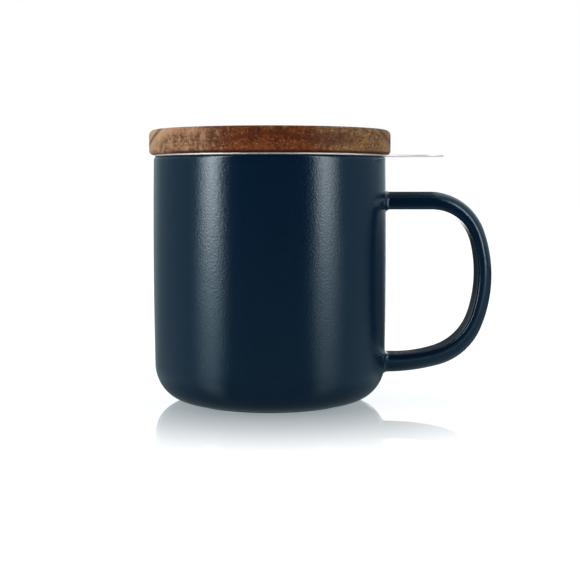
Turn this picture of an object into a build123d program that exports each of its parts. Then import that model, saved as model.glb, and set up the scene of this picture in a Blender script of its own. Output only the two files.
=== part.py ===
from build123d import *
from math import cos, degrees, pi, radians, sin
import os

os.makedirs("parts", exist_ok=True)

# A ceramic tea mug, a steel infuser that hangs on its rim, and a wooden lid that plugs the infuser.
# The origin is the centre of the foot, on the table. +Z is up and the handle points along +X.
# Every size is in millimetres.

# Mug body: a round pot with almost straight sides and a wide rounded bottom corner
rim_height = 90.4
belly_radius = 43.0
belly_height = 48.0
rim_inset = 0.4         # how far the side draws in from the belly up to the rim
corner_inset = 0.3      # how far it draws in from the belly down to the bottom corner
corner_top = 14.5       # height at which the bottom corner starts
corner_width = 13.0
wall = 4.0
floor_thickness = 5.5
bowl_corner = 12.0
rim_rounding = 1.2
foot_height = 0.6       # unglazed ring that the mug stands on
foot_inset = 0.4
foot_width = 3.6
foot_rounding = 0.25
foot_recess = 1.2

# Handle: a loop with a D-shaped section, flat and softly edged on the finger side
handle_width = 13.0
handle_reach = 82.3     # from the mug's axis to the outside of the loop
handle_drop = 12.8      # from the rim down to the top of the upper arm
handle_lift = 10.6      # from the table up to the underside of the lower arm
upper_arm = 6.5
grip = 5.8
lower_arm = 7.15
side_height = 1.5       # straight sides under the crown, where the loop is thinnest
grip_edge = 1.4
grip_inset = 0.15       # the finger side is this much narrower than the handle, on each side
section_margin = 0.5    # spare depth of the D before its finger side is cut
root_radius = 1.2       # swelling where each arm meets the mug
root_steps = ((1.2, -0.1), (0.35, 0.3), (-0.2, 1.0), (-2.5, 1.0))   # off the wall, spread
outer_bends = ((70, 21.5), (43, 50.0), (52, 23.5), (15, 75.0))      # degrees, radius
inner_bends = ((76, 16.4), (32, 47.6), (54, 19.7), (18, 46.5))

# Infuser: a pressed collar with a thumb tab, a slotted wall and a drawn floor
collar_sheet = 0.6
flange_inset = 0.3      # the collar's edge stays inside the mug's edge by this much
neck_clearance = 1.1
neck_bend = 1.0
neck_depth = 14.0
tab_reach = 64.0        # from the mug's axis to the tip of the tab
tab_width = 17.4
basket_sheet = 0.4
basket_fit = 0.05       # gap between nested sheets, closed by their spot welds
basket_lap = 4.0        # how far the wall runs up inside the neck
basket_drop = 68.4      # from the rim down to the bottom of the basket
floor_flange = 4.0
floor_bend = 1.4
slot_width = 0.9
slot_length = 9.0
slot_row_gap = 2.5
slot_pitch = 4.9
slot_border = 2.0       # plain metal between the slots and the lapped edges
hole_diameter = 1.2
hole_pitch = 4.0

# Lid: a turned wooden disc with a plug, and a silicone ring in the plug's groove
lid_overhang = 1.7
lid_thickness = 9.0
lid_top_rounding = 2.0
lid_under_rounding = 1.5
plug_clearance = 1.4
plug_depth = 7.0
plug_rounding = 0.8
groove_depth = 1.6
groove_height = 3.2
groove_drop = 2.0       # from the lid's underside down to the groove
seal_clearance = 0.3
seal_play = 0.1         # above and below the ring in its groove
seal_lips = 2

# Sizes that follow from the ones above
rim_radius = belly_radius - rim_inset
corner_radius = belly_radius - corner_inset
foot_radius = corner_radius - corner_width - foot_inset
bore_radius = rim_radius - wall
bowl_floor = foot_recess + floor_thickness
crown_rise = min(upper_arm, grip, lower_arm) - side_height
flange_radius = rim_radius - flange_inset
flange_top = rim_height + collar_sheet
neck_radius = bore_radius - neck_clearance
neck_inside = neck_radius - collar_sheet
neck_bottom = rim_height - neck_depth
basket_radius = neck_inside - basket_fit
basket_inside = basket_radius - basket_sheet
basket_bottom = rim_height - basket_drop
lid_radius = rim_radius + lid_overhang
lid_top = flange_top + lid_thickness
plug_radius = neck_inside - plug_clearance
groove_radius = plug_radius - groove_depth


def turned(*edges):
    """Turn a closed outline, drawn as (radius, height), about the mug's axis."""
    return revolve(Plane.XZ * make_face(edges), Axis.Z)


def rings_at(shape, radius, height):
    """The circular edges of a turned shape at one radius and height."""
    near = 1e-3
    circles = shape.edges().filter_by(GeomType.CIRCLE)
    return [e for e in circles
            if abs(e.radius - radius) < near and abs(e.center().Z - height) < near]


def pot_side(depth):
    """The side from the bottom corner up to the rim, set in from the outside by depth."""
    return ThreePointArc((corner_radius - depth, corner_top),
                         (belly_radius - depth, belly_height),
                         (rim_radius - depth, rim_height))


def pot_corner():
    """The outside of the bottom corner, from the foot up to the side."""
    return EllipticalCenterArc((corner_radius - corner_width, corner_top), corner_width,
                               corner_top - foot_height, start_angle=-90, arc_size=90)


def solid_pot():
    """The mug's outside, filled: what the handle is joined to and trimmed by."""
    side = pot_side(0)
    corner = pot_corner()
    return turned(corner, side, Polyline(side @ 1, (0, rim_height), (0, foot_height), corner @ 0))


def mug_body():
    side = pot_side(0)
    corner = pot_corner()
    bore = pot_side(wall)
    foot = Polyline((0, foot_recess), (foot_radius - foot_width, foot_recess),
                    (foot_radius - foot_width, 0), (foot_radius, 0),
                    (foot_radius, foot_height), corner @ 0)
    bowl = Polyline(bore @ 0, (corner_radius - wall, bowl_floor), (0, bowl_floor), (0, foot_recess))
    pot = turned(foot, corner, side, Line(side @ 1, bore @ 1), bore, bowl)
    rim = rings_at(pot, rim_radius, rim_height) + rings_at(pot, bore_radius, rim_height)
    pot = fillet(rim, rim_rounding)
    pot = fillet(rings_at(pot, corner_radius - wall, bowl_floor), bowl_corner)
    foot_edges = rings_at(pot, foot_radius, 0) + rings_at(pot, foot_radius - foot_width, 0)
    return fillet(foot_edges, foot_rounding)


def loop_path(bends, reach, top, bottom):
    """A loop that leaves the mug level at its top and comes back level at its bottom.

    The bends keep their proportions, and are sized together to span from top to bottom.
    """
    drop = 0
    bulge = 0
    heading = 0
    for turn, radius in bends:
        after = heading + turn
        drop += radius * (cos(radians(heading)) - cos(radians(after)))
        bulge += radius * (sin(radians(min(after, 90))) - sin(radians(min(heading, 90))))
        heading = after
    size = (top - bottom) / drop
    path = [Line((0, top), (reach - bulge * size, top))]
    for turn, radius in bends:
        path.append(JernArc(path[-1] @ 1, path[-1] % 1, radius * size, -turn))
    path.append(Line(path[-1] @ 1, (0, bottom)))
    return path


def d_section(x, outside, depth, spread, side, edge):
    """The handle's section across an arm at x: an elliptical crown, short sides and a flat.

    The crown's top is at the height outside, above the flat for side 1, below it for side -1.
    Spread widens the whole section by that much all round, and edge rounds the flat's corners.
    """
    half_width = handle_width / 2 + spread
    flat = -depth - spread
    crown = EllipticalCenterArc((0, -crown_rise), half_width, crown_rise + spread,
                                start_angle=0, arc_size=180)
    sides = Polyline(crown @ 1, (-half_width, flat), (half_width, flat), crown @ 0)
    section = make_face([crown, *sides.edges()])
    section = fillet(section.vertices().sort_by(Axis.Y)[:2], edge)
    return Plane((x, 0, outside), x_dir=(0, side, 0), z_dir=(1, 0, 0)) * section


def grip_section(height):
    """What the finger side keeps of the D: a tall block with softly rounded lower corners."""
    width = handle_width - 2 * grip_inset
    tall = 2 * max(upper_arm, grip, lower_arm)
    across = Plane((0, 0, height), x_dir=(0, 1, 0), z_dir=(1, 0, 0))
    return across * Pos(0, tall / 2) * RectangleRounded(width, tall, grip_edge)


def root_flare(outside, thickness, side):
    """The swelling where an arm meets the mug: two bevels close to a round, then into the wall."""
    sections = [d_section(corner_radius + off * root_radius, outside, thickness,
                          spread * root_radius, side, grip_edge)
                for off, spread in root_steps]
    return loft(sections, ruled=True)


def mug_handle():
    top = rim_height - handle_drop
    outer = loop_path(outer_bends, handle_reach, top, handle_lift)
    inner = loop_path(inner_bends, handle_reach - grip, top - upper_arm, handle_lift + lower_arm)
    depth = max(upper_arm, grip, lower_arm) + section_margin
    crown = sweep(d_section(0, top, depth, 0, 1, section_margin), Plane.XZ * Wire(outer))
    loop = crown & sweep(grip_section(top - upper_arm), Plane.XZ * Wire(inner))
    flares = [root_flare(top, upper_arm, 1), root_flare(handle_lift, lower_arm, -1)]
    return loop + flares - solid_pot()


def infuser_rim():
    """Flange, bend and neck turned in one outline, with the thumb tab cut from the same sheet."""
    bend_outside = neck_bend + collar_sheet
    corner = (neck_inside + bend_outside, flange_top - bend_outside)
    over = CenterArc(corner, bend_outside, 180, -90)
    under = CenterArc(corner, neck_bend, 90, 90)
    collar = turned(over, Polyline(over @ 1, (flange_radius, flange_top),
                                   (flange_radius, rim_height), under @ 0),
                    under, Polyline(under @ 1, (neck_radius, neck_bottom),
                                    (neck_inside, neck_bottom), over @ 0))
    tip = tab_reach - tab_width / 2
    start = neck_radius + neck_bend
    blank = Pos((start + tip) / 2, 0) * Rectangle(tip - start, tab_width)
    blank += Pos(tip, 0) * Circle(tab_width / 2)
    tab = extrude(Pos(0, 0, rim_height) * (blank - Circle(start)), collar_sheet)
    return collar + tab


def slot_outline(turn, low):
    """One upright slot on the outside of the basket wall, as a closed wire."""
    half_turn = degrees(slot_width / basket_radius) / 2
    ends = [Edge.make_circle(basket_radius, Plane((0, 0, z)), turn - half_turn, turn + half_turn)
            for z in (low, low + slot_length)]
    sides = [Edge.make_line(ends[0] @ at, ends[1] @ at) for at in (0, 1)]
    return Wire([ends[0], sides[1], ends[1], sides[0]])


def infuser_wall():
    """A tube of thin sheet with staggered rows of slots, centred between its lapped edges."""
    wall_top = neck_bottom + basket_lap
    lowest = basket_bottom + floor_flange + slot_border
    highest = neck_bottom - slot_border
    row_pitch = slot_length + slot_row_gap
    rows = int((highest - lowest + slot_row_gap) // row_pitch)
    first = (highest + lowest - rows * row_pitch + slot_row_gap) / 2
    around = int(2 * pi * basket_radius // slot_pitch)
    slots = [slot_outline((k + row % 2 / 2 + 0.25) * 360 / around, first + row * row_pitch)
             for row in range(rows) for k in range(around)]
    tube = Pos(0, 0, basket_bottom) * Cylinder(basket_radius, wall_top - basket_bottom,
                                               align=(Align.CENTER, Align.CENTER, Align.MIN))
    skin = tube.faces().filter_by(GeomType.CYLINDER)[0].make_holes(slots)
    return Solid.thicken(skin, -basket_sheet)


def infuser_floor():
    """A shallow drawn cup inside the wall's lower edge, with rings of round holes."""
    outside = basket_inside - basket_fit
    inside = outside - basket_sheet
    bend_outside = floor_bend + basket_sheet
    flat = outside - bend_outside
    centre = (flat, basket_bottom + bend_outside)
    outer = CenterArc(centre, bend_outside, -90, 90)
    inner = CenterArc(centre, floor_bend, 0, -90)
    flange_top_edge = basket_bottom + floor_flange
    rings = int((flat - hole_diameter) // hole_pitch)
    plate_radius = rings * hole_pitch + hole_diameter
    skirt = turned(Line((plate_radius, basket_bottom), outer @ 0), outer,
                   Polyline(outer @ 1, (outside, flange_top_edge), (inside, flange_top_edge),
                            inner @ 0),
                   inner, Polyline(inner @ 1, (plate_radius, basket_bottom + basket_sheet),
                                   (plate_radius, basket_bottom)))
    spots = [(0, 0)]
    for ring in range(1, rings + 1):
        spots += [Vector(ring * hole_pitch, 0).rotate(Axis.Z, k * 60 / ring)
                  for k in range(6 * ring)]
    holes = [Wire.make_circle(hole_diameter / 2, Plane(spot)) for spot in spots]
    plate = Face(Wire.make_circle(plate_radius)).make_holes(holes)
    return skirt + Pos(0, 0, basket_bottom) * extrude(plate, basket_sheet)


def lid_disc():
    """Disc and plug turned from one board, with a groove round the plug for the seal."""
    groove_top = flange_top - groove_drop
    groove_bottom = groove_top - groove_height
    plug_bottom = flange_top - plug_depth
    lid = turned(Polyline((0, lid_top), (lid_radius, lid_top), (lid_radius, flange_top),
                          (plug_radius, flange_top), (plug_radius, groove_top),
                          (groove_radius, groove_top), (groove_radius, groove_bottom),
                          (plug_radius, groove_bottom), (plug_radius, plug_bottom),
                          (0, plug_bottom), (0, lid_top)))
    lid = fillet(rings_at(lid, lid_radius, lid_top), lid_top_rounding)
    lid = fillet(rings_at(lid, lid_radius, flange_top), lid_under_rounding)
    return fillet(rings_at(lid, plug_radius, plug_bottom), plug_rounding)


def lid_seal():
    """A soft ring with rounded lips that reach towards the inside of the neck."""
    high = flange_top - groove_drop - seal_play
    low = high - groove_height + 2 * seal_play
    lip = (high - low) / (2 * seal_lips)
    lip_radius = neck_inside - seal_clearance - lip
    outline = [Polyline((lip_radius, high), (groove_radius, high), (groove_radius, low),
                        (lip_radius, low))]
    for k in range(seal_lips):
        outline.append(CenterArc((lip_radius, low + (2 * k + 1) * lip), lip, -90, 180))
    return turned(*outline)


if __name__ == "__main__":
    for make in (mug_body, mug_handle, infuser_rim, infuser_wall, infuser_floor, lid_disc, lid_seal):
        export_step(make(), f"parts/{make.__name__}.step")
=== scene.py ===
from collections import namedtuple
from math import asin, atan2, cos, degrees, hypot, pi, radians, sin

import bpy
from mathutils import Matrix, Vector
from mathutils.geometry import intersect_line_line_2d


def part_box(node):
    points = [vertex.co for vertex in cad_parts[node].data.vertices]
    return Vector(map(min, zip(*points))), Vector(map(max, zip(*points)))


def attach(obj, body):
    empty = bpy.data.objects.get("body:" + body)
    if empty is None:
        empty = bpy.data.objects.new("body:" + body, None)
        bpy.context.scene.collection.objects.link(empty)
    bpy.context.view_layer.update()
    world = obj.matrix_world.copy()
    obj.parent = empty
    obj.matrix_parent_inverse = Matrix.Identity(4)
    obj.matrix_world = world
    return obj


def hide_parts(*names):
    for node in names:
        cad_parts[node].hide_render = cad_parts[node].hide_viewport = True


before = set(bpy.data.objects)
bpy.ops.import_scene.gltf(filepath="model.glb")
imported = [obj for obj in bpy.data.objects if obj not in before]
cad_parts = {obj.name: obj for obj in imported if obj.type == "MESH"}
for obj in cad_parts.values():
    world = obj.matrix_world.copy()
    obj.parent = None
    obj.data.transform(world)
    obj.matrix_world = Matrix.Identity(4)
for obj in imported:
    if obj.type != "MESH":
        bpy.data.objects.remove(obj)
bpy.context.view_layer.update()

# A ceramic tea mug with a steel infuser and a plug-in wooden lid. Sizes are in metres.
MM = 0.001

# Pot
RIM_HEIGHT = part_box("mug_body")[1][2]
BELLY_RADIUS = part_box("mug_body")[1][1]
BELLY_HEIGHT = 48.0 * MM
RIM_RADIUS = BELLY_RADIUS - 0.4 * MM
CORNER_RADIUS = BELLY_RADIUS - 0.3 * MM
CORNER_TOP = 14.5 * MM
CORNER_WIDTH = 13.0 * MM
WALL = 4.0 * MM
BOWL_FLOOR = 6.7 * MM
BOWL_CORNER = 12.0 * MM
RIM_ROUNDING = 1.2 * MM
FOOT_HEIGHT = 0.6 * MM
FOOT_RADIUS = CORNER_RADIUS - CORNER_WIDTH - 0.4 * MM
FOOT_WIDTH = 3.6 * MM
FOOT_ROUNDING = 0.25 * MM
FOOT_RECESS = 1.2 * MM

# Handle
HANDLE_WIDTH = 13.0 * MM
HANDLE_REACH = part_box("mug_handle")[1][0]
HANDLE_TOP = RIM_HEIGHT - 12.8 * MM
HANDLE_BOTTOM = 10.6 * MM
UPPER_ARM = 6.5 * MM
GRIP = 5.8 * MM
LOWER_ARM = 7.15 * MM
GRIP_EDGE = 1.4 * MM
CROWN_RISE = 4.5 * MM
ROOT_RADIUS = 1.2 * MM
ROOT_STEPS = 6
ROOT_SUNK = 2.6 * MM     # how far the handle's ends run on into the wall
OUTER_BENDS = ((70, 21.5), (43, 50.0), (52, 23.5), (15, 75.0))      # degrees, relative radius
INNER_BENDS = ((76, 16.4), (32, 47.6), (54, 19.7), (18, 46.5))

# Infuser collar
COLLAR_SHEET = 0.6 * MM
SHEET_EDGE = 0.15 * MM
FLANGE_RADIUS = RIM_RADIUS - 0.3 * MM
FLANGE_TOP = RIM_HEIGHT + COLLAR_SHEET
NECK_RADIUS = RIM_RADIUS - WALL - 1.1 * MM
NECK_INSIDE = NECK_RADIUS - COLLAR_SHEET
NECK_BEND = 1.0 * MM
NECK_BOTTOM = RIM_HEIGHT - 14.0 * MM
TAB_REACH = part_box("infuser_rim")[1][0]
TAB_WIDTH = 17.4 * MM

# Lid
LID_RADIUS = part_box("lid_disc")[1][1]
LID_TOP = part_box("lid_disc")[1][2]
LID_TOP_ROUNDING = 2.0 * MM
LID_UNDER_ROUNDING = 1.5 * MM
PLUG_RADIUS = NECK_INSIDE - 1.4 * MM
PLUG_BOTTOM = FLANGE_TOP - 7.0 * MM
PLUG_ROUNDING = 0.8 * MM
GROOVE_RADIUS = PLUG_RADIUS - 1.6 * MM
GROOVE_TOP = FLANGE_TOP - 2.0 * MM
GROOVE_BOTTOM = GROOVE_TOP - 3.2 * MM

# How finely pieces are drawn
TURNS = 240              # faces round a turned piece
CROWN_STEPS = 96         # steps in half a turn of the handle, outside and finger side
FINGER_STEPS = 180
SHARP = 40               # degrees between two faces, past which their edge stays sharp

# From here on, most pairs say where a change begins and where it ends.

# Glaze
BARE_FOOT = (0.04 * MM, 0.10 * MM)
PEEL = 0.7 * MM
PEEL_DEPTH = 0.036 * MM
RIPPLE = 7 * MM
RIPPLE_DEPTH = 0.03 * MM
GLAZE_DEEP = (0.0011, 0.0092, 0.0260, 1)
GLAZE_CLOUD = (0.0018, 0.0118, 0.0310, 1)
GLAZE_SHEEN = (0.66, 0.93, 1.0, 1)
CLAY = (0.42, 0.34, 0.27, 1)

# Wood, grain along Y: the red heart, tan sapwood towards -X and olive towards +X, the tan lighter
# partly as painted light
HEART_LEFT = (-26 * MM, -13 * MM)
HEART_RIGHT = (13 * MM, 23 * MM)
TAN_TO_OLIVE = (-25 * MM, 25 * MM)
TAN_EDGE = (-20 * MM, -12 * MM)
HEART_LIGHT = (0.180, 0.049, 0.010, 1)
HEART_DARK = (0.037, 0.0052, 0.0009, 1)
TAN_LIGHT = (0.35, 0.190, 0.100, 1)
TAN_DARK = (0.095, 0.036, 0.0125, 1)
OLIVE_LIGHT = (0.25, 0.135, 0.053, 1)
OLIVE_DARK = (0.062, 0.023, 0.0065, 1)

# Its figure: pink streaks, light curls and a smooth patch in the tan, and a dusky patch. The smooth
# patch is a smooth figure lightened as painted highlight, and the upper left corner is painted
# highlight
PAINTED_HIGHLIGHT_SIDE = (-27 * MM, -19 * MM)
PAINTED_HIGHLIGHT_HEIGHT = (96.5 * MM, 98.5 * MM)
PALE_FOOT_HEIGHT = (92.5 * MM, 95.5 * MM)
PINK = (0.46, 0.27, 0.175, 1)
CURL = (0.56, 0.340, 0.200, 1)
# The smooth patch at the upper left end: a smooth figure in a lighter tone, partly painted highlight
SMOOTH_SLANT = 1.2       # the smooth patch ends on a line at this slope
SMOOTH_EDGE = (-156 * MM, -149 * MM)
SMOOTH_PAINTED_HIGHLIGHT = (0.53, 0.335, 0.190, 1)
DUSK_PLACE = (21 * MM, 95.6 * MM)
DUSK_SIZE = (10 * MM, 2.6 * MM)
DUSK = (0.060, 0.020, 0.012, 1)

# Its growth rings, lost for a stretch on either side, and painted shade that darkens the board under
# its edge
RING_ARCH = 84.0 * MM    # the rings drop by x squared over this
RING_PITCH = 20.0 * MM
RING_TOP = 97.4 * MM
RING_FINENESS = 80
RING_LOST = (12 * MM, 17 * MM)
RING_BACK = (34 * MM, 38 * MM)
RING = (0.075, 0.016, 0.005, 1)
# Painted shade along the lid's lower edge: where it lies, and its colour
PAINTED_SHADE_HEIGHT = (91.4 * MM, 92.2 * MM)
PAINTED_SHADE_REACH = (42 * MM, 43 * MM)
PAINTED_SHADE_LEFT = (-39 * MM, -30 * MM)
PAINTED_SHADE = (0.045, 0.008, 0.005, 1)

# Steel and silicone
TAB_SEAM = (FLANGE_RADIUS - 0.3 * MM, FLANGE_RADIUS - 0.1 * MM)
BRUSH_LINE = 0.12 * MM
BRUSH_DEPTH = 0.003 * MM
STEEL = (0.74, 0.73, 0.71, 1)
SILICONE_DULL = (0.66, 0.66, 0.64, 1)
SILICONE_PALE = (0.76, 0.76, 0.74, 1)

# Camera
CAMERA_PLACE = (0, -481.8 * MM, 79.3 * MM)
CAMERA_DOWN = 0.079      # radians
CAMERA_ASIDE = 0.0153
LENS = 80.69             # millimetres on a 36 mm sensor

# Light panels, in degrees from the front
LEFT_PANEL = 57.0
RIGHT_PANEL = 54.0
LEFT_LIGHT = 6.0         # how brightly they light the mug
RIGHT_LIGHT = 4.5
PANEL_AWAY = 0.8
PANEL_WIDTH = 0.19
PANEL_HEIGHT = 0.75
LEFT_STRIP = (44, 57, 76)           # their reflections: the start, the crest and the end
RIGHT_STRIP = (41, 53, 73)
LEFT_GLOW = 9.8          # and how bright those are
RIGHT_GLOW = 6.5
FLANK = (6.4 * MM, 27.0 * MM)       # where the panels' images lie in the pot, aside and ahead

# The studio's light: plain, cool off the walls, and warm in the panels' reflections
WHITE = (1, 1, 1, 1)
COOL = (0.80, 1.05, 1.12, 1)
WARM = (1.31, 1.08, 1.06, 1)

# Studio walls, dark in front and in the gap behind, in degrees from the front
WALL_START = (46, 80)
WALL_RISE = (130, 158)
WALL_GLOW = 0.30
RISE_GLOW = 0.16
GAP_RIGHT = (162, 173)
GAP_LEFT = (160, 168)
GAP_DEPTH = 0.42
BACKDROP_START = (161, 167)
BACKDROP_END = (174, 178)
BACKDROP_GLOW = 2.0

# The same studio by how steeply up or down one looks, as a sine, and its soft light
HORIZON = (-0.05, 0.05)
WALL_TOP = (0.05, 0.25)
STRIP_TOP = (0.75, 0.95)
BACKDROP_BAND = (0.02, 0.06)
AIR_LIGHT = 0.22
WALL_LIGHT = 2.2
SKY_LIGHT = 0.3

# Floor, and what the glaze sees of it by its reach from the mug's axis
FLOOR_RADIUS = 4.0
FLOOR_GLOW = 0.78
FLOOR_TINT = (0.86, 1.02, 1.12, 1)
FLOOR_GREY = (0.4, 0.4, 0.4, 1)     # what the shadow falls on
FLOOR_BOUNCE = (0.8, 0.8, 0.8, 1)
POLISH = 0.60            # the mirror's share beside the mug
POLISH_FADE = (30 * MM, 125 * MM)
MIRROR_LEAN = 0.026      # how far the mirror leans to the front
HALF_FAR = 0.75          # the reach that counts as half of far
WALL_REACH = (38 * MM, 66 * MM)
WALL_NEAR = 0.72         # the walls' share that shows beside the mug
WALL_DIMMED = 0.8        # and the share lost between these two, in degrees from the front
DIM_START = (95, 112)
DIM_END = (140, 165)
FRONT_NEAR = 0.17
FRONT_LOST = 0.15        # of that, far away
FRONT_FADE = (80, 150)
STRIP_REACH = (38 * MM, 56 * MM)
STRIP_NEAR = 0.036
STRIP_FAR = 0.40
STRIP_SOFT = 6           # degrees that the floor widens each strip by
STRIP_IN_FLOOR = 1.14    # how bright the strips and the backdrop are in the floor
BACKDROP_IN_FLOOR = 2.1
BACKDROP_REACH = (60 * MM, 200 * MM)


# ---------------------------------------------------------------- outlines

def arc(centre, radius, start, sweep, steps, height=None):
    """Points round an arc, or part of an ellipse of another height, in degrees."""
    height = height or radius
    turns = [radians(start + sweep * k / steps) for k in range(steps + 1)]
    return [Vector((centre[0] + radius * cos(a), 0, centre[1] + height * sin(a))) for a in turns]


def corners(*places):
    return [Vector((x, 0, z)) for x, z in places]


def bowed(low, middle, high, steps):
    """Points on the circle arc from low through middle to high, which lies outwards."""
    (ax, az), (bx, bz), (cx, cz) = low, middle, high
    double_area = 2 * (ax * (bz - cz) + bx * (cz - az) + cx * (az - bz))
    a, b, c = ax * ax + az * az, bx * bx + bz * bz, cx * cx + cz * cz
    x = (a * (bz - cz) + b * (cz - az) + c * (az - bz)) / double_area
    z = (a * (cx - bx) + b * (ax - cx) + c * (bx - ax)) / double_area
    start = atan2(az - z, ax - x)
    end = atan2(cz - z, cx - x)
    radius = hypot(ax - x, az - z)
    return [Vector((x + radius * cos(t), 0, z + radius * sin(t)))
            for t in (start + (end - start) * k / steps for k in range(steps + 1))]


# ---------------------------------------------------------------- modelling by hand

def trace(name, points, closed=False):
    """A chain of edges through the points, each vertex extruded from the one before."""
    bpy.ops.object.select_all(action="DESELECT")
    bpy.ops.mesh.primitive_plane_add(size=MM, location=(0, 0, 0))
    piece = bpy.context.object
    piece.name = piece.data.name = name
    bpy.ops.object.mode_set(mode="EDIT")
    bpy.ops.mesh.select_mode(type="VERT")
    bpy.ops.mesh.merge(type="CENTER")
    bpy.ops.transform.translate(value=points[0])
    for here, there in zip(points, points[1:]):
        bpy.ops.mesh.extrude_vertices_move(TRANSFORM_OT_translate={"value": there - here})
    bpy.ops.mesh.select_all(action="SELECT")
    if closed:
        bpy.ops.mesh.edge_face_add()
    return piece


def closed_up(piece):
    """Merge seams and poles, face outwards, and shade all but the sharp edges smooth."""
    bpy.ops.mesh.select_all(action="SELECT")
    bpy.ops.mesh.remove_doubles(threshold=MM / 1000)
    bpy.ops.mesh.normals_make_consistent(inside=False)
    bpy.ops.object.mode_set(mode="OBJECT")
    bpy.ops.object.shade_smooth_by_angle(angle=radians(SHARP))
    return piece


def apply_all(piece):
    """Apply every modifier, first to last."""
    bpy.ops.object.select_all(action="DESELECT")
    bpy.context.view_layer.objects.active = piece
    piece.select_set(True)
    for name in [modifier.name for modifier in piece.modifiers]:
        bpy.ops.object.modifier_apply(modifier=name)
    return piece


def turned(name, points):
    """An outline that starts and ends on the mug's axis, or where it began, spun about it."""
    piece = trace(name, points)
    bpy.ops.mesh.spin(steps=TURNS, angle=2 * pi, center=(0, 0, 0), axis=(0, 0, 1))
    return closed_up(piece)


# ---------------------------------------------------------------- ceramic

# A stop on the handle's way: where its crown is, the heading in degrees below +X, the depth to
# the finger side, how far the section is spread all round, and how far it is drawn to the pot.
Station = namedtuple("Station", "place heading depth spread wrap")


def pot():
    bore = RIM_RADIUS - WALL
    bowl_side = CORNER_RADIUS - WALL
    foot_inside = FOOT_RADIUS - FOOT_WIDTH
    rim_level = RIM_HEIGHT - RIM_ROUNDING
    outline = corners((0, FOOT_RECESS), (foot_inside, FOOT_RECESS))
    outline += arc((foot_inside + FOOT_ROUNDING, FOOT_ROUNDING), FOOT_ROUNDING, 180, 90, 4)
    outline += arc((FOOT_RADIUS - FOOT_ROUNDING, FOOT_ROUNDING), FOOT_ROUNDING, 270, 90, 4)
    outline += corners((FOOT_RADIUS, FOOT_HEIGHT))
    outline += arc((CORNER_RADIUS - CORNER_WIDTH, CORNER_TOP), CORNER_WIDTH, 270, 90, 30,
                   CORNER_TOP - FOOT_HEIGHT)
    outline += bowed((CORNER_RADIUS, CORNER_TOP), (BELLY_RADIUS, BELLY_HEIGHT),
                     (RIM_RADIUS, rim_level), 36)[1:-1]
    outline += arc((RIM_RADIUS - RIM_ROUNDING, rim_level), RIM_ROUNDING, 0, 90, 8)
    outline += arc((bore + RIM_ROUNDING, rim_level), RIM_ROUNDING, 90, 90, 8)
    outline += bowed((bowl_side, BOWL_FLOOR + BOWL_CORNER), (BELLY_RADIUS - WALL, BELLY_HEIGHT),
                     (bore, rim_level), 24)[-2:0:-1]
    outline += arc((bowl_side - BOWL_CORNER, BOWL_FLOOR + BOWL_CORNER), BOWL_CORNER, 0, -90, 20)
    outline += corners((0, BOWL_FLOOR))
    return turned("mug_pot", outline)


def outward(heading):
    """The direction out of the handle's loop, where it runs that many degrees below +X."""
    return Vector((sin(radians(heading)), 0, cos(radians(heading))))


def loop(bends, reach, top, bottom, steps):
    """Points and headings along one side of the handle's loop."""
    drop = bulge = heading = 0
    for turn, radius in bends:
        after = heading + turn
        drop += radius * (cos(radians(heading)) - cos(radians(after)))
        bulge += radius * (sin(radians(min(after, 90))) - sin(radians(min(heading, 90))))
        heading = after
    size = (top - bottom) / drop
    place = Vector((reach - bulge * size, 0, top))
    path = [(place, 0)]
    heading = 0
    for turn, radius in bends:
        centre = place - radius * size * outward(heading)
        count = round(steps * turn / 180)
        turns = [heading + turn * k / count for k in range(1, count + 1)]
        path += [(centre + radius * size * outward(at), at) for at in turns]
        place, heading = path[-1]
    return path


def depth_below(place, heading, side):
    """How deep the handle is below a point of its crown: the way through to its finger side."""
    far = place - 2 * HANDLE_WIDTH * outward(heading)
    for (start, _), (end, _) in zip(side, side[1:]):
        hit = intersect_line_line_2d(place.xz, far.xz, start.xz, end.xz)
        if hit:
            return (hit - place.xz).length
    return UPPER_ARM if heading < 90 else LOWER_ARM


def d_section(at, depth):
    """The handle's section across +X: an elliptical crown, short sides and a flat."""
    half = HANDLE_WIDTH / 2
    edge = half - GRIP_EDGE
    low = GRIP_EDGE - depth
    ring = arc((0, -CROWN_RISE), half, 0, 180, 36, CROWN_RISE)
    ring += arc((-edge, low), GRIP_EDGE, 180, 90, 6)
    ring += corners(*((edge * (k / 4 - 1), -depth) for k in range(1, 8)))
    ring += arc((edge, low), GRIP_EDGE, 270, 90, 6)
    return [at + Vector((0, p.x, p.z)) for p in ring]


def root(top, depth, heading):
    """Stations from inside the wall out to the plain arm, a fillet once they are drawn to the pot."""
    sunk = Vector((CORNER_RADIUS - ROOT_SUNK, 0, top))
    clear = Vector((CORNER_RADIUS + ROOT_RADIUS, 0, top))
    stations = [Station(sunk, heading, depth, ROOT_RADIUS, 0)]
    for k in range(ROOT_STEPS, -1, -1):
        angle = pi / 2 * k / ROOT_STEPS
        stations.append(Station(clear, heading, depth, ROOT_RADIUS * (1 - cos(angle)), sin(angle)))
    return stations


def carry_ring(before, after):
    """Move, turn and size the selected ring from one station to the next."""
    out = outward(after.heading)
    middle = after.place - out * after.depth / 2
    step = middle - before.place + outward(before.heading) * before.depth / 2
    wider = (HANDLE_WIDTH + 2 * after.spread) / (HANDLE_WIDTH + 2 * before.spread)
    deeper = (after.depth + 2 * after.spread) / (before.depth + 2 * before.spread)
    bpy.ops.transform.translate(value=step)
    bpy.ops.transform.rotate(value=radians(before.heading - after.heading), orient_axis="Y",
                             center_override=middle)
    bpy.ops.transform.resize(
        value=(1, wider, deeper), orient_matrix=(outward(after.heading + 90), (0, 1, 0), out),
        orient_type="GLOBAL", orient_matrix_type="GLOBAL", center_override=middle)


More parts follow.
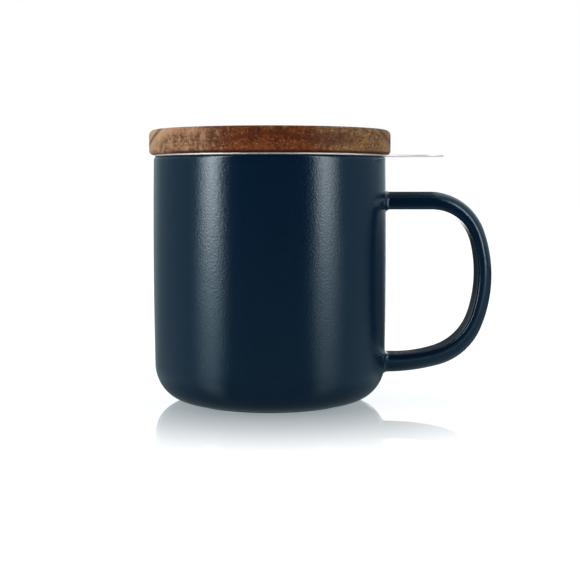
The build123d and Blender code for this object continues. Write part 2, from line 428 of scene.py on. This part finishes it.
def handle(wall):
    """A ring carried round the loop by extruding, turning and sizing it at every station."""
    crown = loop(OUTER_BENDS, HANDLE_REACH, HANDLE_TOP, HANDLE_BOTTOM, CROWN_STEPS)
    finger = loop(INNER_BENDS, HANDLE_REACH - GRIP, HANDLE_TOP - UPPER_ARM,
                  HANDLE_BOTTOM + LOWER_ARM, FINGER_STEPS)
    root_end = CORNER_RADIUS + ROOT_RADIUS
    stations = root(HANDLE_TOP, UPPER_ARM, 0)
    stations += [Station(place, heading, depth_below(place, heading, finger), 0, 0)
                 for place, heading in crown if place.x > root_end + GRIP_EDGE]
    stations += reversed(root(HANDLE_BOTTOM, LOWER_ARM, 180))
    start = stations[0].place
    piece = trace("mug_handle_loop", d_section(start, UPPER_ARM), closed=True)
    bpy.ops.mesh.delete(type="ONLY_FACE")
    bpy.ops.mesh.select_all(action="SELECT")
    wrap = piece.vertex_groups.new(name="wrap")
    before = Station(start, 0, UPPER_ARM, 0, 0)
    for number, station in enumerate(stations):
        if number:
            bpy.ops.mesh.extrude_region_move()
        carry_ring(before, station)
        bpy.context.scene.tool_settings.vertex_group_weight = station.wrap
        bpy.ops.object.vertex_group_assign()
        before = station
    bpy.ops.mesh.select_all(action="SELECT")
    bpy.ops.mesh.fill_holes(sides=0)
    closed_up(piece)
    settle = piece.modifiers.new("settle", "SHRINKWRAP")
    settle.target = wall
    settle.wrap_method = "PROJECT"
    settle.use_project_x = True
    settle.use_positive_direction = False
    settle.use_negative_direction = True
    settle.vertex_group = wrap.name
    return apply_all(piece)


# ---------------------------------------------------------------- steel

def thumb_tab():
    """A flat tab with a round tip, drawn flat and thickened, that starts along the flange's edge."""
    half = TAB_WIDTH / 2
    seat = FLANGE_RADIUS - SHEET_EDGE
    lean = degrees(asin(half / seat))
    plan = arc((0, 0), seat, lean, -2 * lean, 16) + arc((TAB_REACH - half, 0), half, -90, 180, 40)
    plate = trace("thumb_tab", [Vector((p.x, p.z, RIM_HEIGHT)) for p in plan], closed=True)
    bpy.ops.mesh.extrude_region_move(TRANSFORM_OT_translate={"value": (0, 0, COLLAR_SHEET)})
    closed_up(plate)
    soften = plate.modifiers.new("edges", "BEVEL")
    soften.width = SHEET_EDGE
    soften.segments = 3
    soften.limit_method = "ANGLE"
    return apply_all(plate)


def collar():
    """The infuser's neck, bend and flange, turned from one thin outline, welded to its tab."""
    bend = NECK_BEND + COLLAR_SHEET
    x, z = NECK_INSIDE + bend, FLANGE_TOP - bend
    outline = arc((x, z), bend, 180, -90, 12)
    outline += arc((FLANGE_RADIUS - SHEET_EDGE, FLANGE_TOP - SHEET_EDGE), SHEET_EDGE, 90, -90, 4)
    outline += arc((FLANGE_RADIUS - SHEET_EDGE, RIM_HEIGHT + SHEET_EDGE), SHEET_EDGE, 0, -90, 4)
    outline += arc((x, z), NECK_BEND, 90, 90, 10)
    outline += arc((NECK_RADIUS - SHEET_EDGE, NECK_BOTTOM + SHEET_EDGE), SHEET_EDGE, 0, -90, 3)
    outline += arc((NECK_INSIDE + SHEET_EDGE, NECK_BOTTOM + SHEET_EDGE), SHEET_EDGE, 270, -90, 3)
    ring = turned("infuser_collar", outline + outline[:1])
    plate = thumb_tab()
    weld = ring.modifiers.new("weld", "BOOLEAN")
    weld.operation = "UNION"
    weld.object = plate
    apply_all(ring)
    bpy.data.objects.remove(plate)
    return ring


# ---------------------------------------------------------------- wood

def lid():
    outline = corners((0, LID_TOP))
    outline += arc((LID_RADIUS - LID_TOP_ROUNDING, LID_TOP - LID_TOP_ROUNDING),
                   LID_TOP_ROUNDING, 90, -90, 8)
    outline += arc((LID_RADIUS - LID_UNDER_ROUNDING, FLANGE_TOP + LID_UNDER_ROUNDING),
                   LID_UNDER_ROUNDING, 0, -90, 8)
    outline += corners((PLUG_RADIUS, FLANGE_TOP), (PLUG_RADIUS, GROOVE_TOP),
                       (GROOVE_RADIUS, GROOVE_TOP), (GROOVE_RADIUS, GROOVE_BOTTOM),
                       (PLUG_RADIUS, GROOVE_BOTTOM))
    outline += arc((PLUG_RADIUS - PLUG_ROUNDING, PLUG_BOTTOM + PLUG_ROUNDING),
                   PLUG_ROUNDING, 0, -90, 6)
    outline += corners((0, PLUG_BOTTOM))
    return turned("lid_board", outline)


# ---------------------------------------------------------------- shader maths

class Wire:
    """A socket in a shader, with operators that add its Math nodes."""

    def __init__(self, finish, socket):
        self.finish = finish
        self.socket = socket

    def __add__(self, other):
        return self.finish.maths("ADD", self, other)

    def __sub__(self, other):
        return self.finish.maths("SUBTRACT", self, other)

    def __rsub__(self, other):
        return self.finish.maths("SUBTRACT", other, self)

    def __mul__(self, other):
        return self.finish.maths("MULTIPLY", self, other)

    def __truediv__(self, other):
        return self.finish.maths("DIVIDE", self, other)

    def __pow__(self, other):
        return self.finish.maths("POWER", self, other)

    def __abs__(self):
        return self.finish.maths("ABSOLUTE", self)

    __radd__ = __add__
    __rmul__ = __mul__

    def ease(self, start, end):
        """0 before start, 1 after end, and smooth between them."""
        return self.finish.node("ShaderNodeMapRange", {"interpolation_type": "SMOOTHSTEP"},
                                {"Value": self, "From Min": start, "From Max": end})

    def sweep(self, start, end):
        """The same for an angle, from start to end in degrees."""
        return self.ease(radians(start), radians(end))

    def also(self, output):
        """Another output of the same node."""
        return Wire(self.finish, self.socket.node.outputs[output])


class Finish:
    """A shader in the making."""

    def __init__(self, holder):
        holder.use_nodes = True
        self.tree = holder.node_tree
        self.tree.nodes.clear()

    def node(self, kind, settings=None, sockets=None, output=0):
        """Add a node: its settings first, then the values or links of its sockets."""
        made = self.tree.nodes.new(kind)
        for name, value in (settings or {}).items():
            setattr(made, name, value)
        for name, value in (sockets or {}).items():
            if isinstance(value, Wire):
                self.tree.links.new(value.socket, made.inputs[name])
            else:
                made.inputs[name].default_value = value
        return Wire(self, made.outputs[output]) if made.outputs else None

    def maths(self, operation, *values):
        return self.node("ShaderNodeMath", {"operation": operation}, dict(enumerate(values)))

    def place(self, stretch=(1, 1, 1)):
        """Where a point lies on the object, stretched along each axis."""
        at = self.node("ShaderNodeTexCoord", output="Object")
        return self.node("ShaderNodeVectorMath", {"operation": "MULTIPLY"}, {0: at, 1: stretch})

    def axes(self, at):
        split = self.node("ShaderNodeSeparateXYZ", sockets={0: at})
        return split, split.also("Y"), split.also("Z")

    def noise(self, at, size, detail=2.0, rough=0.5, distortion=0.0):
        """Soft noise from 0 to 1, with patches about size metres across."""
        return self.node("ShaderNodeTexNoise", sockets={
            "Vector": at, "Scale": 1 / size, "Detail": detail, "Roughness": rough,
            "Distortion": distortion})

    def blend(self, factor, first, second):
        """Colours mixed: by factor 0 the first, by 1 the second."""
        return self.node("ShaderNodeMix", {"data_type": "RGBA"},
                         {0: factor, 6: first, 7: second}, output=2)

    def bump(self, height, depth, normal=None):
        sockets = {"Height": height, "Distance": depth, "Strength": 1.0}
        if normal:
            sockets["Normal"] = normal
        return self.node("ShaderNodeBump", sockets=sockets)

    def surface(self, sockets):
        shader = self.node("ShaderNodeBsdfPrincipled", sockets=sockets)
        self.node("ShaderNodeOutputMaterial", sockets={"Surface": shader})


def material(name, make):
    """A material that the function make has filled in."""
    new = bpy.data.materials.new(name)
    make(Finish(new))
    return new


def satin_glaze(finish):
    """Deep blue glaze with a soft sheen, an orange-peel skin, and bare clay under the foot."""
    at = finish.place()
    height = finish.axes(at)[2]
    clay = 1 - height.ease(*BARE_FOOT)
    cloud = finish.noise(at, 9 * MM, 3.0, 0.6)
    blue = finish.blend(cloud, GLAZE_DEEP, GLAZE_CLOUD)
    peel = finish.noise(at, PEEL, 1.0, 0.5)
    ripple = finish.noise(at, RIPPLE, 1.0, 0.5)
    finish.surface({
        "Base Color": finish.blend(clay, blue, CLAY),
        "Roughness": 0.09 + 0.17 * peel + 0.5 * clay,
        "Specular Tint": GLAZE_SHEEN,
        "Normal": finish.bump(peel, PEEL_DEPTH, finish.bump(ripple, RIPPLE_DEPTH)),
    })


def acacia(finish):
    """Oiled board: red heart between tan and olive sapwood, arched rings, a fine flecked figure,
    painted highlight at the upper left and painted shade under the edge.
    """
    at = finish.place()
    x, y, z = finish.axes(at)
    across = (x * x + y * y) ** 0.5
    patch = finish.noise(finish.place((1, 0.3, 1)), 6 * MM, 2.0, 0.6)
    mottle = finish.noise(finish.place((1, 0.25, 1)), 1.1 * MM, 3.0, 0.75)
    fleck = finish.noise(finish.place((1, 0.25, 0.8)), 0.5 * MM, 1.0, 0.5)
    streak = finish.noise(finish.place((1, 0.3, 0.35)), 1.8 * MM, 2.0, 0.6)
    from_left = x + 14 * MM * (patch - 0.5) + 5 * MM * (mottle - 0.5)
    heart = from_left.ease(*HEART_LEFT) * (1 - from_left.ease(*HEART_RIGHT))
    # Lighter towards -X: partly the sapwood's tone, partly painted light
    olive = x.ease(*TAN_TO_OLIVE)
    light = finish.blend(heart, finish.blend(olive, TAN_LIGHT, OLIVE_LIGHT), HEART_LIGHT)
    dark = finish.blend(heart, finish.blend(olive, TAN_DARK, OLIVE_DARK), HEART_DARK)
    # Painted highlight towards the upper left corner, plus a lighter foot and a darker tan side
    painted_highlight = z.ease(*PAINTED_HIGHLIGHT_HEIGHT) * (1 - x.ease(*PAINTED_HIGHLIGHT_SIDE))
    tan_side = 1 - x.ease(*TAN_EDGE)
    pale_and_painted_highlight = 0.09 * painted_highlight + 0.04 * (1 - z.ease(*PALE_FOOT_HEIGHT)) - 0.03 * tan_side
    # The figure includes the painted highlight at the upper left
    figure = 0.45 * mottle + 0.15 * patch + 0.20 * streak + 0.20 * fleck + pale_and_painted_highlight
    tone = finish.blend(figure.ease(0.39, 0.63), dark, light)
    pink = streak.ease(0.53, 0.64) * tan_side
    tone = finish.blend(0.45 * pink, tone, PINK)
    curl = finish.noise(finish.place((0.7, 0.25, 1)), 0.7 * MM, 2.0, 0.6, 0.6).ease(0.56, 0.70)
    tone = finish.blend(0.5 * curl * (1 - 0.45 * heart), tone, CURL)
    # Painted highlight in part: the smooth figure at the upper left end, in a lighter tone
    smooth = 1 - (x - SMOOTH_SLANT * z).ease(*SMOOTH_EDGE)
    tone = finish.blend(0.7 * smooth, tone, SMOOTH_PAINTED_HIGHLIGHT)
    dusk = ((x - DUSK_PLACE[0]) / DUSK_SIZE[0]) ** 2 + ((z - DUSK_PLACE[1]) / DUSK_SIZE[1]) ** 2
    tone = finish.blend(0.6 * (1 - dusk.ease(0.2, 1.3)), tone, DUSK)
    depth = z + x * x / RING_ARCH + 1.0 * MM * (patch - 0.5)
    wave = finish.maths("COSINE", (depth - RING_TOP) * (2 * pi / RING_PITCH))
    lost = abs(x).ease(*RING_LOST) * (1 - abs(x).ease(*RING_BACK))
    ring = (0.5 * wave + 0.5) ** RING_FINENESS * (1 - lost)
    tone = finish.blend(0.85 * ring, tone, RING)
    # Painted shade: darker along the lower edge of the rim, except at the far left end
    painted_shade = (1 - z.ease(*PAINTED_SHADE_HEIGHT)) * across.ease(*PAINTED_SHADE_REACH) * x.ease(*PAINTED_SHADE_LEFT)
    tone = finish.blend(painted_shade * 0.85, tone, PAINTED_SHADE)
    finish.surface({
        "Base Color": tone,
        "Roughness": 0.45 + 0.2 * mottle,
        "Specular IOR Level": 0.15,
        "Normal": finish.bump(mottle, 0.05 * MM),
    })


def brushed_steel(finish):
    """Stainless steel with fine brush lines round the turned part, rougher on tab and edge, and the
    tab whitened as painted highlight.
    """
    at = finish.place()
    x, y, z = finish.axes(at)
    across = (x * x + y * y) ** 0.5
    lines = finish.node("ShaderNodeCombineXYZ", sockets={
        0: across, 1: z, 2: finish.maths("ARCTAN2", y, x) * MM})
    grain = finish.noise(lines, BRUSH_LINE, 2.0, 0.6)
    smear = finish.noise(at, 7 * MM, 2.0, 0.5)
    facing = finish.axes(finish.node("ShaderNodeTexCoord", output="Normal"))[2]
    tab = across.ease(*TAB_SEAM)
    cut = tab * (1 - abs(facing).ease(0.6, 0.95))
    # Painted highlight: the tab's colour is whitened so that it reads bright
    finish.surface({
        "Base Color": finish.blend(0.6 * tab, STEEL, WHITE),
        "Metallic": 1 - 0.2 * tab,
        "Roughness": 0.24 + 0.14 * grain + 0.06 * smear + 0.14 * tab + 0.11 * cut,
        "Normal": finish.bump(grain, BRUSH_DEPTH),
    })


def silicone(finish):
    at = finish.place()
    haze = finish.noise(at, 3 * MM, 2.0, 0.5)
    finish.surface({
        "Base Color": finish.blend(haze, SILICONE_DULL, SILICONE_PALE),
        "Roughness": 0.42 + 0.1 * haze,
        "Normal": finish.bump(haze, 0.02 * MM),
    })


# ---------------------------------------------------------------- studio

def bearing(finish, x, y):
    """The way to (x, y) as an angle from the front, growing towards +X."""
    return finish.maths("ARCTAN2", x, -1 * y)


def walls(finish, x, y):
    """How bright the studio is towards (x, y) from the mug: dark in front and right behind."""
    right = bearing(finish, x, y)
    left = -1 * right
    turn = abs(right)
    side = turn.sweep(*WALL_START)
    rise = turn.sweep(*WALL_RISE)
    gap = right.sweep(*GAP_RIGHT) + left.sweep(*GAP_LEFT)
    return side * (WALL_GLOW + RISE_GLOW * rise - GAP_DEPTH * gap)


def backdrop(finish, x, y):
    """How far (x, y) is towards the bright backdrop, seen from the tab."""
    turn = bearing(finish, x, y)
    return turn.sweep(*BACKDROP_START) * (1 - turn.sweep(*BACKDROP_END))


def strip(turn, start, crest, end, soft):
    """A light strip that rises from its start to its crest and falls to its end."""
    return turn.sweep(start - soft, crest) * (1 - turn.sweep(crest + 1, end + soft))


def panels(finish, x, y, aside=0, ahead=0, soft=0):
    """How bright the two light panels are towards (x, y), from a place on each flank."""
    left = strip(bearing(finish, -1 * (x + aside), y + ahead), *LEFT_STRIP, soft)
    right = strip(bearing(finish, x - aside, y + ahead), *RIGHT_STRIP, soft)
    return LEFT_GLOW * left + RIGHT_GLOW * right


def glow(finish, kind, colour, strength):
    return finish.node(kind, sockets={"Color": colour, "Strength": strength})


def both(finish, first, second):
    return finish.node("ShaderNodeAddShader", sockets={0: first, 1: second})


def white_floor(finish):
    """White to the camera with a soft shadow, and polished round the mug, which it mirrors."""
    kind = "ShaderNodeEmission"
    x, y, _ = finish.axes(finish.place())
    reach = (x * x + y * y) ** 0.5
    shine = POLISH * (1 - reach.ease(*POLISH_FADE))
    ray = finish.node("ShaderNodeLightPath")
    matt = finish.node("ShaderNodeBsdfDiffuse", sockets={"Color": FLOOR_BOUNCE})
    soft = finish.node("ShaderNodeBsdfDiffuse", sockets={"Color": FLOOR_GREY})
    upright = finish.node("ShaderNodeNewGeometry", output="Normal")
    lean = finish.node("ShaderNodeVectorMath", {"operation": "ADD"},
                       {0: upright, 1: (0, -MIRROR_LEAN, 0)})
    mirror = finish.node("ShaderNodeBsdfGlossy", sockets={
        "Color": WHITE, "Roughness": 0.0, "Normal": lean})
    tint = finish.blend(shine, WHITE, FLOOR_TINT)
    seen = both(finish, glow(finish, kind, tint, FLOOR_GLOW), soft)
    seen = finish.node("ShaderNodeMixShader", sockets={0: shine, 1: seen, 2: mirror})
    far = reach / (reach + HALF_FAR)
    turn = bearing(finish, x, y)
    dim = turn.sweep(*DIM_START) * (1 - turn.sweep(*DIM_END))
    wall = walls(finish, x, y + FLANK[1]) * (1 - WALL_DIMMED * dim)
    wall = wall * (WALL_NEAR + (1 - WALL_NEAR) * far) * reach.ease(*WALL_REACH)
    front = (FRONT_NEAR - FRONT_LOST * far) * (1 - abs(turn).sweep(*FRONT_FADE))
    strips = (STRIP_FAR * far + STRIP_NEAR) * reach.ease(*STRIP_REACH)
    strips = strips * panels(finish, x, y, *FLANK, STRIP_SOFT)
    behind = BACKDROP_IN_FLOOR * backdrop(finish, x - FLANGE_RADIUS, y)
    behind = behind * reach.ease(*BACKDROP_REACH)
    mirrored = both(finish, glow(finish, kind, COOL, wall + front),
                    glow(finish, kind, WHITE, STRIP_IN_FLOOR * strips + behind))
    other = finish.node("ShaderNodeMixShader",
                        sockets={0: ray.also("Is Glossy Ray"), 1: matt, 2: mirrored})
    all_of_it = finish.node("ShaderNodeMixShader", sockets={0: ray, 1: other, 2: seen})
    finish.node("ShaderNodeOutputMaterial", sockets={"Surface": all_of_it})


def floor():
    bpy.ops.object.select_all(action="DESELECT")
    bpy.ops.mesh.primitive_circle_add(vertices=96, radius=FLOOR_RADIUS, fill_type="NGON")
    plane = bpy.context.object
    plane.name = "floor"
    plane.data.materials.append(material("white_floor", white_floor))


def studio_air():
    """White to the camera and in the floor's mirror; else soft light and what gloss reflects."""
    world = bpy.data.worlds.new("studio")
    bpy.context.scene.world = world
    finish = Finish(world)
    kind = "ShaderNodeBackground"
    ray = finish.node("ShaderNodeLightPath")
    x, y, z = finish.axes(finish.node("ShaderNodeTexCoord", output="Generated"))
    clear = finish.maths("MAXIMUM", finish.maths("MAXIMUM", ray, ray.also("Is Singular Ray")),
                         ray.also("Is Transmission Ray"))
    gloss = (1 - clear) * ray.also("Is Glossy Ray")
    wall = walls(finish, x, y)
    lofty = wall * (1 + 0.8 * z.ease(*WALL_TOP))
    tall = (0.5 + 0.5 * z.ease(*HORIZON)) * (1 - z.ease(*STRIP_TOP))
    ambient = AIR_LIGHT + WALL_LIGHT * wall + SKY_LIGHT * z.ease(0, 1)
    ambient = (1 - clear) * (1 - gloss) * ambient
    behind = BACKDROP_GLOW * backdrop(finish, x, y) * (1 - abs(z).ease(*BACKDROP_BAND))
    air = both(finish, glow(finish, kind, WHITE, clear + ambient + gloss * behind),
               glow(finish, kind, COOL, gloss * (0.02 + lofty)))
    air = both(finish, air, glow(finish, kind, WARM, gloss * tall * panels(finish, x, y)))
    finish.node("ShaderNodeOutputWorld", sockets={"Surface": air})


def softbox(name, turn, radiance):
    """An upright light panel, turn degrees from the front towards +X, facing the mug."""
    lamp = bpy.data.lights.new(name, "AREA")
    lamp.shape = "RECTANGLE"
    lamp.size = PANEL_WIDTH
    lamp.size_y = PANEL_HEIGHT
    lamp.energy = radiance * pi * lamp.size * lamp.size_y
    panel = bpy.data.objects.new(name, lamp)
    bpy.context.scene.collection.objects.link(panel)
    panel.location = (PANEL_AWAY * sin(radians(turn)), -PANEL_AWAY * cos(radians(turn)),
                      PANEL_HEIGHT / 2)
    panel.rotation_euler = (pi / 2, 0, radians(turn))
    panel.visible_glossy = False


def camera():
    eye = bpy.data.objects.new("camera", bpy.data.cameras.new("camera"))
    bpy.context.scene.collection.objects.link(eye)
    eye.location = CAMERA_PLACE
    eye.rotation_euler = (pi / 2 - CAMERA_DOWN, 0, -CAMERA_ASIDE)
    eye.data.lens = LENS
    eye.data.clip_start = 0.01
    bpy.context.scene.camera = eye


# ---------------------------------------------------------------- assembly

def fit(piece, body, slot, finish, *nodes):
    """Give a modelled piece its finish, its body and the CAD nodes that it stands for."""
    piece.data.materials.clear()
    piece.data.materials.append(finish)
    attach(piece, body)
    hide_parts(*nodes)


def main():
    camera()
    floor()
    studio_air()
    softbox("left_strip", -LEFT_PANEL, LEFT_LIGHT)
    softbox("right_strip", RIGHT_PANEL, RIGHT_LIGHT)
    glaze = material("satin_glaze", satin_glaze)
    steel = material("brushed_steel", brushed_steel)
    board = material("acacia", acacia)
    rubber = material("silicone", silicone)
    body = pot()
    fit(handle(body), "mug", "glaze", glaze, "mug_handle")
    fit(body, "mug", "glaze", glaze, "mug_body")
    fit(collar(), "infuser", "collar_steel", steel, "infuser_rim")
    fit(lid(), "lid", "lid_wood", board, "lid_disc")
    for node, finish in (("infuser_wall", steel), ("infuser_floor", steel), ("lid_seal", rubber)):
        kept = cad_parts[node]
        kept.data.materials.clear()
        kept.data.materials.append(finish)
    bpy.context.scene.view_settings.view_transform = "Standard"


main()
